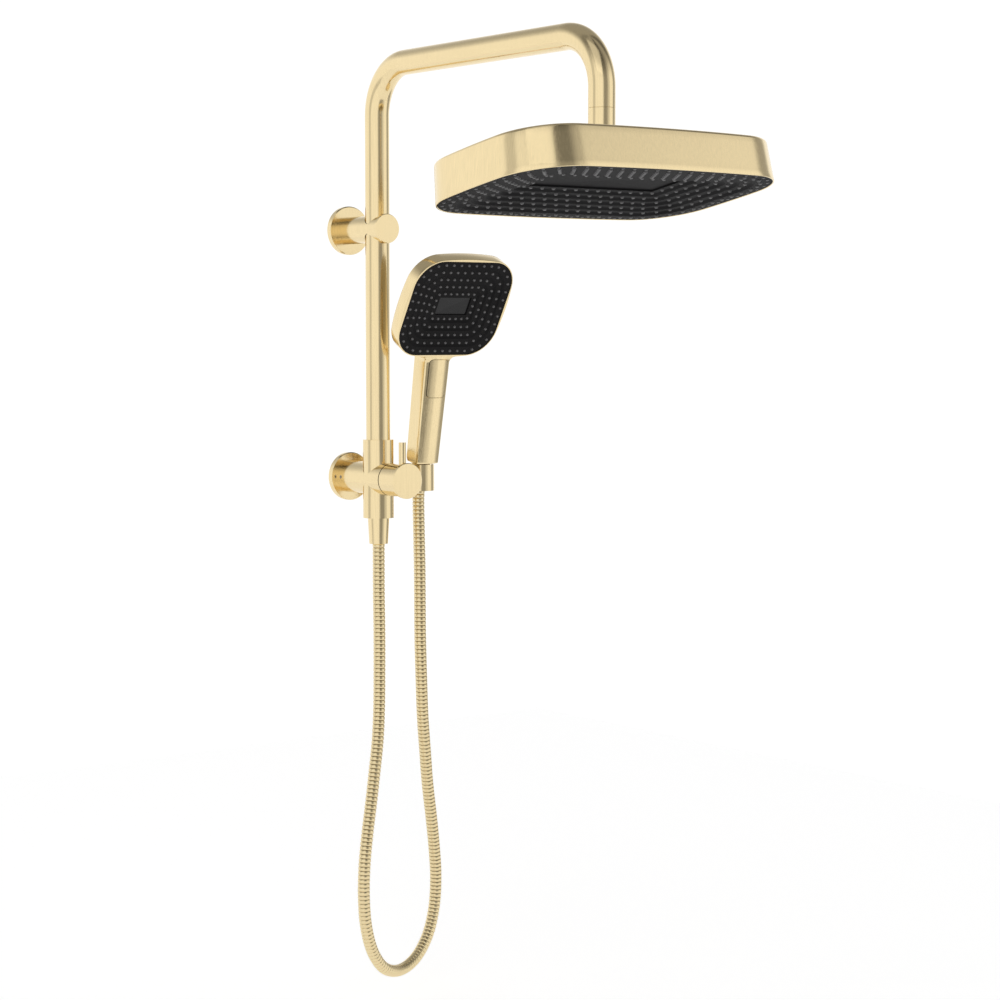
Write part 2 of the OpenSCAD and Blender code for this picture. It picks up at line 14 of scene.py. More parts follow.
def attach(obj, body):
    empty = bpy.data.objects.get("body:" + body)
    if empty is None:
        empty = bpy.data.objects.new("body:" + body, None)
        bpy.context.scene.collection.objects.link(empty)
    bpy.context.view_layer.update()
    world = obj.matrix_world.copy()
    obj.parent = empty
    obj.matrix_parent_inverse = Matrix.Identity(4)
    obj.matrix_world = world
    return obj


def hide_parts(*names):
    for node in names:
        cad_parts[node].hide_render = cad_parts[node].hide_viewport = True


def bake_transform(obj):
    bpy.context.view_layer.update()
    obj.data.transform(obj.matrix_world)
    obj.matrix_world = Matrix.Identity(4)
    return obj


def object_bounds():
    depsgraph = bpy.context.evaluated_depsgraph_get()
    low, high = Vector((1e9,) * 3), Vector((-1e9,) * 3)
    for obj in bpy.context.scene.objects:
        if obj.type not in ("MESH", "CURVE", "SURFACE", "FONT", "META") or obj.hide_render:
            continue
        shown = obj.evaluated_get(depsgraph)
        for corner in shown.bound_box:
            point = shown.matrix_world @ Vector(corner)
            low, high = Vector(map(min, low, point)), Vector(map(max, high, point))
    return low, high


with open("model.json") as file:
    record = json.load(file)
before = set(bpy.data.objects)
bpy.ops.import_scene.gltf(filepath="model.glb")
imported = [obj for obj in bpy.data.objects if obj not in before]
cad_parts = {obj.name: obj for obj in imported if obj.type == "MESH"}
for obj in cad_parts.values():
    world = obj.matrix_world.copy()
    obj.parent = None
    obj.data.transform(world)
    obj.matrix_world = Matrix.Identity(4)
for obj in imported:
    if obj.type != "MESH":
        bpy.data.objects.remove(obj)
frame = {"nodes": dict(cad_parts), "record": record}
cad_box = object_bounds()

MM = 0.001

# ---- camera ----

CAMERA_PLACE = (-1.350, -1.997, 0.154)
CAMERA_AZIMUTH = -37.86
CAMERA_DOWN = 4.27
CAMERA_LENS = 82.2
CAMERA_SENSOR = 36.0
CAMERA_CLIP = (0.05, 50.0)

camera_data = bpy.data.cameras.new("camera")
camera_data.lens = CAMERA_LENS
camera_data.sensor_width = CAMERA_SENSOR
camera_data.clip_start, camera_data.clip_end = CAMERA_CLIP
camera = bpy.data.objects.new("camera", camera_data)
camera.location = CAMERA_PLACE
camera.rotation_euler = Euler(
    (math.radians(90 - CAMERA_DOWN), 0, math.radians(CAMERA_AZIMUTH)), "XYZ"
)
bpy.context.scene.collection.objects.link(camera)
bpy.context.scene.camera = camera

# ---- mesh helpers ----


def link_object(name, data):
    obj = bpy.data.objects.new(name, data)
    bpy.context.scene.collection.objects.link(obj)
    return obj


def shade_smooth(mesh):
    mesh.polygons.foreach_set("use_smooth", [True] * len(mesh.polygons))


def link_mesh(name, verts, faces, smooth=True):
    mesh = bpy.data.meshes.new(name)
    mesh.from_pydata([tuple(v) for v in verts], [], faces)
    mesh.validate()
    mesh.update()
    if smooth:
        shade_smooth(mesh)
    return link_object(name, mesh)


def recalc_normals(obj):
    bm = bmesh.new()
    bm.from_mesh(obj.data)
    bmesh.ops.recalc_face_normals(bm, faces=bm.faces)
    bm.to_mesh(obj.data)
    bm.free()


def sharpen(obj, degrees):
    """Edges that turn more than this stay crisp in smooth shading."""
    bm = bmesh.new()
    bm.from_mesh(obj.data)
    limit = math.radians(degrees)
    for edge in bm.edges:
        if len(edge.link_faces) == 2 and edge.calc_face_angle(0) > limit:
            edge.smooth = False
    bm.to_mesh(obj.data)
    bm.free()


def add_circle(verts, place, radius, u, v, sides):
    """Adds a ring of points in the plane of u and v, and returns their numbers."""
    first = len(verts)
    for k in range(sides):
        angle = 2 * math.pi * k / sides
        verts.append(place + radius * (math.cos(angle) * u + math.sin(angle) * v))
    return list(range(first, len(verts)))


def bridge(faces, first, second):
    """Quads between two closed rings of vertex numbers."""
    n = len(first)
    for i in range(n):
        j = (i + 1) % n
        faces.append((first[i], first[j], second[j], second[i]))


# ---- hose ----

# The route of part.scad, in millimetres.
HOSE_ROUTE = [
    (0, -55, -67.5), (0, -55, -90), (0, -55, -120), (0.5, -55, -160),
    (0, -55.5, -201), (-2, -57.5, -239.5), (-6.5, -61, -273.5), (-13.4, -65, -305),
    (-20.8, -69.5, -335), (-28.4, -73.5, -366), (-34.2, -76.5, -397.5), (-35.8, -77.3, -430.5),
    (-32.2, -76, -463), (-20.8, -71.5, -492.5), (-1.2, -64, -514.5), (25.5, -54, -523.5),
    (52.6, -44.6, -517.5), (74.8, -36.5, -498), (87.2, -31.8, -469.5), (90.3, -30.8, -436.5),
    (86.8, -32.5, -401.5), (80.3, -36, -366.5), (72.3, -40.7, -330.5), (65.2, -46.3, -294),
    (58.7, -51, -254.5), (54.2, -55, -212.5), (51.5, -57, -170), (50.8, -57.6, -130),
    (50.8, -57.3, -95), (50.8, -56.3, -62), (50.8, -55.5, -34), (50.8, -55.5, -22),
    (50.8, -56.2, -13.32),
]
LEG_STEPS = 24
PATH_STEP = 5 * MM
HOSE_D = 12.8 * MM
HOSE_PITCH = 4.2 * MM
HOSE_SIDES = 24
RIB_STEPS = 8
# One rib of the hose: share of the pitch, share of the radius.
RIB_PROFILE = ((0.0, 0.88), (0.10, 0.985), (0.30, 1.0), (0.66, 1.0), (0.88, 0.97), (0.95, 0.88))
# The groove's parts of each rib, which get a darker gold as painted shade.
GROOVE_SHADE_PARTS = (4, 5)
# Points of the line on each side that give its direction.
LOOK_BACK, LOOK_AHEAD = 2, 3


def spline_point(points, i, t):
    """Point at share t of leg i, on a cubic through all the points."""
    n = len(points) - 1
    a, b = points[max(i - 1, 0)], points[i]
    c, d = points[i + 1], points[min(i + 2, n)]
    m0 = c - b if i == 0 else (c - a) / 2
    m1 = c - b if i == n - 1 else (d - b) / 2
    t2, t3 = t * t, t * t * t
    return (
        (2 * t3 - 3 * t2 + 1) * b + (t3 - 2 * t2 + t) * m0
        + (3 * t2 - 2 * t3) * c + (t3 - t2) * m1
    )


def resample(points, step):
    """Points an equal distance apart along a fine polyline, and its length."""
    lengths = [0.0]
    for a, b in zip(points, points[1:]):
        lengths.append(lengths[-1] + (b - a).length)
    total = lengths[-1]
    count = max(2, round(total / step))
    result, k = [], 0
    for i in range(count + 1):
        s = total * i / count
        while k < len(lengths) - 2 and lengths[k + 1] < s:
            k += 1
        span = lengths[k + 1] - lengths[k]
        result.append(points[k].lerp(points[k + 1], (s - lengths[k]) / span))
    return result, total


route = [Vector(p) * MM for p in HOSE_ROUTE]
fine = [
    spline_point(route, i, j / LEG_STEPS)
    for i in range(len(route) - 1) for j in range(LEG_STEPS)
] + [route[-1]]
hose_path, hose_length = resample(fine, PATH_STEP)


def make_hose():
    ribs = round(hose_length / HOSE_PITCH)
    line, _ = resample(fine, hose_length / (ribs * RIB_STEPS))
    total = len(line) - 1
    verts, faces, rings = [], [], []
    side = Vector((0, 1, 0))

    def frame_at(s):
        x = min(max(s, 0.0), 1.0) * total
        i = min(int(x), total - 1)
        place = line[i].lerp(line[i + 1], x - i)
        ahead = line[min(i + LOOK_AHEAD, total)] - line[max(i - LOOK_BACK, 0)]
        ahead = ahead.normalized()
        u = ahead.cross(side).normalized()
        return place, u, u.cross(ahead).normalized()

    for rib in range(ribs):
        for part, radius in RIB_PROFILE:
            place, u, v = frame_at((rib + part) / ribs)
            rings.append(add_circle(verts, place, radius * HOSE_D / 2, u, v, HOSE_SIDES))
    for a, b in zip(rings, rings[1:]):
        bridge(faces, a, b)
    faces.append(tuple(reversed(rings[0])))
    faces.append(tuple(rings[-1]))
    obj = link_mesh("hose_ribbed", verts, faces)
    # Faces in the grooves take material 1: a darker gold, painted shade.
    for i, face in enumerate(obj.data.polygons):
        face.material_index = int(i // HOSE_SIDES % len(RIB_PROFILE) in GROOVE_SHADE_PARTS)
    recalc_normals(obj)
    return obj


hose = make_hose()
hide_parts("hose")
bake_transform(hose)

# ---- riser and arm ----

STANDOFF = 55 * MM
REACH = 355 * MM
ARM_Z = 422 * MM
BEND_R = 50 * MM
TUBE_R = 12.5 * MM
BORE_R = 11 * MM
DROP_Y = -STANDOFF - REACH
FOOT_Z = 16.2 * MM
SEAM_Z = 353.4 * MM
BEND_STEPS = 24
TUBE_SIDES = 64
TUBE_CRISP = 50


def tube_line():
    """Centreline of the riser, arm and drop, with the heading from +Y up to +Z at each point."""
    places = [(Vector((0, -STANDOFF, FOOT_Z)), 90.0)]
    turns = [math.radians(90 * i / BEND_STEPS) for i in range(BEND_STEPS + 1)]
    for t in turns:
        y = -STANDOFF - BEND_R + BEND_R * math.cos(t)
        z = ARM_Z - BEND_R + BEND_R * math.sin(t)
        places.append((Vector((0, y, z)), 90.0 + math.degrees(t)))
    for t in turns:
        y = DROP_Y + BEND_R - BEND_R * math.sin(t)
        z = ARM_Z - BEND_R + BEND_R * math.cos(t)
        places.append((Vector((0, y, z)), 180.0 + math.degrees(t)))
    places.append((Vector((0, DROP_Y, SEAM_Z)), 270.0))
    return places


def make_riser():
    verts, faces, outer, inner = [], [], [], []
    for place, heading in tube_line():
        h = math.radians(heading)
        across = Vector((0, -math.sin(h), math.cos(h)))
        for radius, rings in ((TUBE_R, outer), (BORE_R, inner)):
            rings.append(add_circle(verts, place, radius, Vector((1, 0, 0)), across, TUBE_SIDES))
    for rings in (outer, inner):
        for a, b in zip(rings, rings[1:]):
            bridge(faces, a, b)
    bridge(faces, outer[0], inner[0])
    bridge(faces, outer[-1], inner[-1])
    obj = link_mesh("riser_and_arm", verts, faces)
    recalc_normals(obj)
    sharpen(obj, TUBE_CRISP)
    return obj


riser = make_riser()
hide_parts("riser_tube")
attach(riser, "riser")

# ---- outlines of the two heads ----

SIDE_STEPS = 28
CORNER_STEPS = 14
# Edges that turn more than this many degrees stay crisp.
LOFT_CRISP = 40


def arc(cx, cy, radius, start, stop, steps):
    """Points and outward normals on an arc, without its last point."""
    result = []
    for i in range(steps):
        t = math.radians(start + (stop - start) * i / steps)
        n = Vector((math.cos(t), math.sin(t)))
        result.append((Vector((cx, cy)) + radius * n, n))
    return result


def crowned(half, sag):
    """Radius of a side that is crowned by its sag, and its half angle in degrees."""
    if sag == 0:
        return None, 0.0
    big = (half ** 2 + sag ** 2) / (2 * sag)
    return big, math.degrees(math.asin(half / big))


def rounded_outline(a, b, corner, sag_x=0.0, sag_y=0.0):
    """Anticlockwise outline from the right side, each side crowned by its sag, with normals."""
    cx, cy = a - corner - sag_x, b - corner - sag_y
    right_side, top_side = (a, cy, sag_x), (b, cx, sag_y)
    result = []
    for quarter in range(4):
        this_side, next_side = (
            (right_side, top_side) if quarter % 2 == 0 else (top_side, right_side)
        )
        reach, half, sag = this_side
        next_half, next_sag = next_side[1:]
        big, open_angle = crowned(half, sag)
        if big is None:
            side = [
                (Vector((reach, -half + 2 * half * i / SIDE_STEPS)), Vector((1, 0)))
                for i in range(SIDE_STEPS)
            ]
        else:
            side = arc(
                reach - corner - big, 0, big + corner, -open_angle, open_angle, SIDE_STEPS
            )
        next_open = crowned(next_half, next_sag)[1]
        bend = arc(next_half, half, corner, open_angle, 90 - next_open, CORNER_STEPS)
        turn = Matrix.Rotation(math.radians(90 * quarter), 2)
        result += [(turn @ p, turn @ n) for p, n in side + bend]
    return result


def matched_circle(outline, radius):
    """The outline's points pulled on to a circle."""
    return [p.normalized() * radius for p, _ in outline]


class Loft:
    """Rings of equal point counts, joined into one mesh. A mark is a material number."""

    def __init__(self, place):
        self.place = place
        self.verts, self.faces, self.rings, self.marks = [], [], [], []

    def ring(self, points, z, mark=0):
        """Adds a ring, joined to the one before it."""
        ring = []
        for p in points:
            ring.append(len(self.verts))
            self.verts.append(self.place @ Vector((p[0], p[1], z)))
        if self.rings:
            self.join(self.rings[-1], ring, mark)
        self.rings.append(ring)

    def inset(self, outline, inset, z, mark=0):
        """Adds an outline as a ring, moved inwards by the inset."""
        self.ring([p - n * inset for p, n in outline], z, mark)

    def join(self, first, second, mark=0):
        bridge(self.faces, first, second)
        self.marks += [mark] * len(first)

    def close(self):
        """Joins the last ring to the first."""
        self.join(self.rings[-1], self.rings[0])

    def cap_ends(self):
        """Fills the last ring and the first."""
        self.faces += [tuple(self.rings[-1]), tuple(reversed(self.rings[0]))]
        self.marks += [0, 0]

    def build(self, name, crisp=LOFT_CRISP):
        obj = link_mesh(name, self.verts, self.faces)
        for face, mark in zip(obj.data.polygons, self.marks):
            face.material_index = mark
        recalc_normals(obj)
        sharpen(obj, crisp)
        return obj


# ---- terraced spray faces ----

RISER_SHARE = 0.28
CORNER_SHRINK = 0.75
LEAST_CORNER = 4 * MM
MIDDLE_CORNER = 0.3 * MM
FACE_CRISP = 25


def terrace(size, inset, k):
    """Half length, half width and corner radius of the outline k rows in from the edge."""
    corner = max(size[2] - CORNER_SHRINK * inset[0] * k, LEAST_CORNER)
    return (size[0] - inset[0] * k, size[1] - inset[1] * k, corner)


def make_dish(name, place, rim, size, inset, rows, step, z0, thick):
    """Flat treads with sloping risers between them, towards an open middle.

    The rim's rings come first, each as an outline, an inset and a height. Risers, and the wall
    round the middle, have mark 1, which takes a darker black as painted shade.
    """
    loft = Loft(place)
    for outline, rim_inset, z in rim:
        loft.inset(outline, rim_inset, z)
    middle = terrace(size, inset, rows)[:2] + (MIDDLE_CORNER,)
    for k in range(rows):
        z = z0 + step * k
        start = terrace(size, inset, k + (RISER_SHARE if k else 0))
        end = middle if k == rows - 1 else terrace(size, inset, k + 1)
        # Risers take mark 1, a darker black painted as shade.
        loft.inset(rounded_outline(*start), 0, z, 1 if k else 0)
        loft.inset(rounded_outline(*end), 0, z)
    # The wall round the middle takes mark 1 too, painted shade.
    loft.inset(rounded_outline(*middle), 0, z0 + step * (rows - 1) + thick, 1)
    return loft.build(name, FACE_CRISP)


# ---- rain head ----

BALL = Vector((0, DROP_Y, 320 * MM))
HEAD_TILT = 10.4
HEAD_A, HEAD_B, HEAD_CORNER = 155 * MM, 96 * MM, 59 * MM
HEAD_SAG_X, HEAD_SAG_Y = 1 * MM, 3 * MM
HEAD_TOP, HEAD_H, HEAD_DRAFT = -7.6 * MM, 38 * MM, 2.6 * MM
HEAD_BOTTOM = HEAD_TOP - HEAD_H
HEAD_SKIN, HEAD_WALL, HEAD_WALL_FOOT = 1.6 * MM, 1.7 * MM, 3 * MM
HEAD_EDGE_R, HEAD_EDGE_STEPS, HEAD_WALL_STEPS = 3 * MM, 8, 7
HEAD_HOLE_R = 17.1 * MM
# Section of the lip round the face: inset and height above the bottom, in millimetres.
HEAD_LIP = (
    (1.6, 2.0), (1.5, 0.35), (1.25, 0.08), (0.9, 0.0), (0.45, 0.08), (0.12, 0.35), (0.0, 0.9),
)
RAIN_FACE = HEAD_BOTTOM + 0.4 * MM
RAIN_DISH = (147 * MM, 88.5 * MM, 52 * MM)
RAIN_STEP, RAIN_ROWS, RAIN_INSET = 2 * MM, 6, (12.3 * MM, 11.3 * MM)
RAIN_RIM_INSET, RAIN_RIM_H, RAIN_THICK = 1.75 * MM, 2.2 * MM, 4.2 * MM

head_place = Matrix.Translation(BALL) @ Matrix.Rotation(math.radians(-HEAD_TILT), 4, "X")
head_outline = rounded_outline(HEAD_A, HEAD_B, HEAD_CORNER, HEAD_SAG_X, HEAD_SAG_Y)


def draft_at(z):
    return HEAD_DRAFT * (z - HEAD_BOTTOM) / HEAD_H


def make_rain_shell():
    loft = Loft(head_place)
    for inset, z in HEAD_LIP:
        loft.inset(head_outline, inset * MM, HEAD_BOTTOM + z * MM)
    for i in range(1, HEAD_WALL_STEPS + 1):
        z = HEAD_BOTTOM + (HEAD_H - HEAD_EDGE_R) * i / HEAD_WALL_STEPS
        loft.inset(head_outline, draft_at(z), z)
    for i in range(1, HEAD_EDGE_STEPS + 1):
        t = math.radians(90 * i / HEAD_EDGE_STEPS)
        z = HEAD_TOP - HEAD_EDGE_R * (1 - math.sin(t))
        loft.inset(head_outline, draft_at(z) + HEAD_EDGE_R * (1 - math.cos(t)), z)
    hole = matched_circle(head_outline, HEAD_HOLE_R)
    loft.ring(hole, HEAD_TOP)
    loft.ring(hole, HEAD_TOP - HEAD_SKIN)
    loft.inset(head_outline, HEAD_DRAFT + HEAD_EDGE_R, HEAD_TOP - HEAD_SKIN)
    loft.inset(head_outline, HEAD_WALL, HEAD_BOTTOM + HEAD_WALL_FOOT)
    loft.close()
    return loft.build("rain_shell_formed")


rain_shell = make_rain_shell()
rain_face = make_dish(
    "rain_face_terraced", head_place,
    [
        (head_outline, RAIN_RIM_INSET, RAIN_FACE + RAIN_RIM_H),
        (head_outline, RAIN_RIM_INSET, RAIN_FACE),
    ],
    RAIN_DISH, RAIN_INSET, RAIN_ROWS, RAIN_STEP, RAIN_FACE, RAIN_THICK,
)

# ---- handset ----

CUP = Vector((50.8, -58.2, 0)) * MM
CUP_LEAN = 8.7
FACE_POS = Vector((0, -36.6, 182.4)) * MM
FACE_LEAN = 21
HAND_OUTLINE = (64 * MM, 57 * MM, 32 * MM, 1.5 * MM, 1.5 * MM)
# Section of the handset's head: inset and depth behind its front, in millimetres.
HAND_SIDE = (
    (0.7, 0.0), (0.25, 0.1), (0.06, 0.35), (0.0, 0.8), (0.0, 6.0),
    (0.0, 13.6), (0.35, 14.4), (1.1, 15.2), (2.0, 15.8), (2.8, 16.0),
)
HAND_HOLLOW = (61.2 * MM, 54.2 * MM, 30.2 * MM)
HAND_HOLLOW_ENDS = (-5 * MM, 14.2 * MM)
HAND_DISH = (61 * MM, 54 * MM, 30 * MM)
HAND_INSET = (8.2 * MM, 8.8 * MM)
HAND_ROWS, HAND_STEP, HAND_FACE = 5, 1.2 * MM, 0.8 * MM
HAND_RIM_H, HAND_THICK = 2.4 * MM, 3.1 * MM
WELL = (11.8 * MM, 20.3 * MM, 4.3 * MM)
WELL_FLOOR, WELL_DEPTH = -10.7 * MM, 20 * MM
BUTTON_Z = 106.8 * MM
SHELL_CRISP = 32

# Handle, in millimetres, with its levels along the cup's axis: half width, front and back, the
# rounded foot, the flare under the head, and the crown of its front.
HANDLE_LEVELS = (
    16.3, 16.5, 17.0, 18, 19.5, 21, 22.4, 40, 60, 80, 100, 115, 123.2,
    124.6, 126, 127.2, 128.2, 128.9, 129.35, 136,
)
HANDLE_TRIM = {16.3: 0.8, 16.5: 0.3}
HANDLE_LOW, HANDLE_TOP = 16.3, 136.0
HANDLE_HALF, HANDLE_WIDENS = 14.25, 1.5
HANDLE_FRONT, HANDLE_THICKENS, THICKENS_UP_TO = -14, 3.1, 0.95
HANDLE_BACK, FOOT_H, FOOT_DEPTH = 9.5, 6, 4
FLARE_Z, FLARE_R, FLARE_END = 123.2, 6.2, 0.995
CROWN_R, CROWN_OPENS = 34, 11

# Section of the handle: edge radii, and points along each line.
FRONT_EDGE_R, BACK_EDGE_R = 2.5 * MM, 3 * MM
CROWN_STEPS, EDGE_STEPS, FLANK_STEPS, BACK_STEPS = 20, 8, 5, 8

handset_place = Matrix.Translation(CUP) @ Matrix.Rotation(math.radians(CUP_LEAN), 4, "X")
# Y runs up the handset's face, and Z into its head.
face_place = (
    handset_place @ Matrix.Translation(FACE_POS)
    @ Matrix.Rotation(math.radians(FACE_LEAN - 90), 4, "X") @ Matrix.Diagonal((1, -1, 1, 1))
)
# Z runs out of the button's well.
well_place = (
    handset_place @ Matrix.Translation((0, WELL_FLOOR, BUTTON_Z))
    @ Matrix.Rotation(math.radians(90), 4, "X")
)


def arc_points(*values):
    return [p for p, _ in arc(*values)]


def line_points(start, end, steps):
    """Points on a line, without its last point."""
    return [Vector(start).lerp(Vector(end), i / steps) for i in range(steps)]


def handle_section(half_front, half_back, front, back, crown):
    """Outline of the handle: crowned front, flat sides, round back corners."""
    rf, rb = FRONT_EDGE_R, BACK_EDGE_R
    reach = half_front - rf
    alpha = math.degrees(math.asin(reach / (crown - rf)))
    yc = front + crown - math.sqrt((crown - rf) ** 2 - reach ** 2)
    right, left = half_back - rb, rb - half_back
    return (
        arc_points(0, front + crown, crown, -90 - alpha, -90 + alpha, CROWN_STEPS)
        + arc_points(reach, yc, rf, -90 + alpha, 0, EDGE_STEPS)
        + line_points((half_front, yc), (half_back, back - rb), FLANK_STEPS)
        + arc_points(right, back - rb, rb, 0, 90, EDGE_STEPS)
        + line_points((right, back), (left, back), BACK_STEPS)
        + arc_points(left, back - rb, rb, 90, 180, EDGE_STEPS)
        + line_points((-half_back, back - rb), (-half_front, yc), FLANK_STEPS)
        + arc_points(-reach, yc, rf, 180, 270 - alpha, EDGE_STEPS)
    )


def make_handle():
    """The handle runs up into the head, with a fillet on each side of its front."""
    loft = Loft(handset_place)
    for z in HANDLE_LEVELS:
        trim = HANDLE_TRIM.get(z, 0)
        share = (z - HANDLE_LOW) / (HANDLE_TOP - HANDLE_LOW)
        half = HANDLE_HALF + HANDLE_WIDENS * share - trim
        rise = min(max((z - FLARE_Z) / FLARE_R, 0), FLARE_END)
        flare = FLARE_R * (1 - math.sqrt(1 - rise * rise))
        foot = max(0.0, FOOT_H - (z - HANDLE_LOW)) / FOOT_H
        foot_back = FOOT_DEPTH * (1 - math.sqrt(max(0.0, 1 - foot * foot)))
        back = HANDLE_BACK - share - foot_back - trim
        front = HANDLE_FRONT - HANDLE_THICKENS * min(share, THICKENS_UP_TO) + trim
        crown = CROWN_R + CROWN_OPENS * flare
        section = handle_section(
            (half + flare) * MM, half * MM, front * MM, back * MM, crown * MM
        )
        loft.ring(section, z * MM)
    loft.cap_ends()
    return loft.build("handle_solid")


def make_hand_head():
    loft = Loft(face_place)
    outline = rounded_outline(*HAND_OUTLINE)
    for inset, z in HAND_SIDE:
        loft.inset(outline, inset * MM, z * MM)
    loft.cap_ends()
    return loft.build("head_solid")


def prism(place, outline, z0, z1):
    loft = Loft(place)
    loft.inset(outline, 0, z0)
    loft.inset(outline, 0, z1)
    loft.cap_ends()
    return loft.build("cutter")


def carve(name, base, steps):
    """The base joined with or cut by other solids, as one mesh."""
    for operation, tool in steps:
        boolean = base.modifiers.new(operation.lower(), "BOOLEAN")
        boolean.operation = operation
        boolean.solver = "EXACT"
        boolean.object = tool
    bpy.context.view_layer.update()
    evaluated = base.evaluated_get(bpy.context.evaluated_depsgraph_get())
    mesh = bpy.data.meshes.new_from_object(evaluated)
    obj = link_object(name, mesh)
    for helper in [base] + [tool for _, tool in steps]:
        bpy.data.objects.remove(helper)
    shade_smooth(mesh)
    sharpen(obj, SHELL_CRISP)
    return obj


handset_shell = carve(
    "handset_shell_formed", make_handle(),
    [
        ("UNION", make_hand_head()),
        ("DIFFERENCE", prism(face_place, rounded_outline(*HAND_HOLLOW), *HAND_HOLLOW_ENDS)),
        ("DIFFERENCE", prism(well_place, rounded_outline(*WELL), 0, WELL_DEPTH)),
    ],
)
handset_face = make_dish(
    "handset_face_terraced", face_place,
    [(rounded_outline(*HAND_DISH), 0, HAND_FACE + HAND_RIM_H)],
    HAND_DISH, HAND_INSET, HAND_ROWS, HAND_STEP, HAND_FACE, HAND_THICK,
)
for piece, node, body, slot in (
    (rain_shell, "rain_shell", "rain_head", "gold"),
    (rain_face, "rain_face_plate", "rain_head", "black_face"),
    (handset_shell, "handset_shell", "handset", "gold"),
    (handset_face, "handset_face_plate", "handset", "black_face"),
):
    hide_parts(node)
    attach(piece, body)

# ---- materials ----


def principled(name):
    """A new material with one Principled shader."""
    mat = bpy.data.materials.new(name)
    mat.use_nodes = True
    nodes, links = mat.node_tree.nodes, mat.node_tree.links
    nodes.clear()
    shader = nodes.new("ShaderNodeBsdfPrincipled")
    output = nodes.new("ShaderNodeOutputMaterial")
    links.new(shader.outputs["BSDF"], output.inputs["Surface"])
    return mat, nodes, links, shader


def noise(nodes, links, scale, detail, stretch=(1, 1, 1)):
    coord = nodes.new("ShaderNodeTexCoord")
    mapping = nodes.new("ShaderNodeMapping")
    mapping.inputs["Scale"].default_value = stretch
    tex = nodes.new("ShaderNodeTexNoise")
    tex.inputs["Scale"].default_value = scale
    tex.inputs["Detail"].default_value = detail
    links.new(coord.outputs["Object"], mapping.inputs["Vector"])
    links.new(mapping.outputs["Vector"], tex.inputs["Vector"])
    return tex.outputs["Fac"]


def ramp(nodes, links, source, low, high, ends=(0.3, 0.7)):
    """A colour that goes from low to high while the source goes from one end to the other."""
    node = nodes.new("ShaderNodeValToRGB")
    for element, place, value in zip(node.color_ramp.elements, ends, (low, high)):
        element.position = place
        element.color = (*value, 1)
    links.new(source, node.inputs["Fac"])
    return node.outputs["Color"]


def grey(v):
    return (v, v, v)


def scaled(tone, share):
    return tuple(c * share for c in tone)


def bump(nodes, links, height, distance, strength, shader):
    node = nodes.new("ShaderNodeBump")
    node.inputs["Distance"].default_value = distance
    node.inputs["Strength"].default_value = strength
    links.new(height, node.inputs["Height"])
    links.new(node.outputs["Normal"], shader.inputs["Normal"])


def brushed_gold(name, tone, stretch, rough):
    """Champagne PVD over brushed brass: a fine grain drawn along one direction."""
    mat, nodes, links, shader = principled(name)
    shader.inputs["Metallic"].default_value = 1.0
    grain = noise(nodes, links, scale=900, detail=4, stretch=stretch)
    cloud = noise(nodes, links, scale=14, detail=3)
    mix = nodes.new("ShaderNodeMix")
    mix.data_type = "RGBA"
    mix.inputs["Factor"].default_value = 0.25
    for source, socket in ((grain, "A"), (cloud, "B")):
        colour = ramp(nodes, links, source, scaled(tone, 0.93), scaled(tone, 1.05))
        links.new(colour, mix.inputs[socket])
    links.new(mix.outputs["Result"], shader.inputs["Base Color"])
    roughness = ramp(
        nodes, links, grain, grey(rough - 0.05), grey(rough + 0.07), ends=(0.25, 0.75)
    )
    links.new(roughness, shader.inputs["Roughness"])
    bump(nodes, links, grain, distance=0.00002, strength=0.25, shader=shader)
    return mat


def plain_metal(name, tone, rough):
    mat, nodes, links, shader = principled(name)
    shader.inputs["Metallic"].default_value = 1.0
    turned = noise(nodes, links, scale=400, detail=3, stretch=(1, 1, 6))
    colour = ramp(nodes, links, turned, scaled(tone, 0.9), tone)
    links.new(colour, shader.inputs["Base Color"])
    roughness = ramp(nodes, links, turned, grey(rough), grey(rough + 0.12))
    links.new(roughness, shader.inputs["Roughness"])
    return mat


def fine_plastic(name, tone, rough, depth=0.00003, shine=0.5):
    """Moulded plastic, silicone or rubber with a fine grain. The depth is the grain's."""
    mat, nodes, links, shader = principled(name)
    shader.inputs["Specular IOR Level"].default_value = shine
    grain = noise(nodes, links, scale=1200, detail=2)
    cloud = noise(nodes, links, scale=30, detail=2)
    colour = ramp(nodes, links, cloud, scaled(tone, 0.9), scaled(tone, 1.08))
    links.new(colour, shader.inputs["Base Color"])
    roughness = ramp(nodes, links, grain, grey(rough - 0.06), grey(rough + 0.06))
    links.new(roughness, shader.inputs["Roughness"])
    bump(nodes, links, grain, distance=depth, strength=0.3, shader=shader)
    return mat


GOLD = (0.86, 0.70, 0.41)
GOLD_HOSE = (0.80, 0.66, 0.39)
# A darker copy of the hose's gold, painted in its grooves as shade.
PAINTED_SHADE_GOLD = (0.46, 0.34, 0.17)
BRASS = (0.70, 0.52, 0.22)
STEEL = (0.62, 0.62, 0.64)
BLACK_TRIM = (0.012, 0.012, 0.013)
RUBBER = (0.02, 0.02, 0.021)
BLACK_FACE = (0.0145, 0.0138, 0.0142)
# A darker copy of the face's black, painted on the risers as shade.
PAINTED_SHADE_BLACK = (0.0115, 0.011, 0.0115)
BLACK_PANEL = (0.010, 0.0095, 0.010)
NOZZLE_GREY = (0.105, 0.102, 0.104)
NYLON = (0.74, 0.73, 0.68)
UPRIGHT_GRAIN = (1, 1, 0.04)
EVEN_GRAIN = (1, 1, 1)

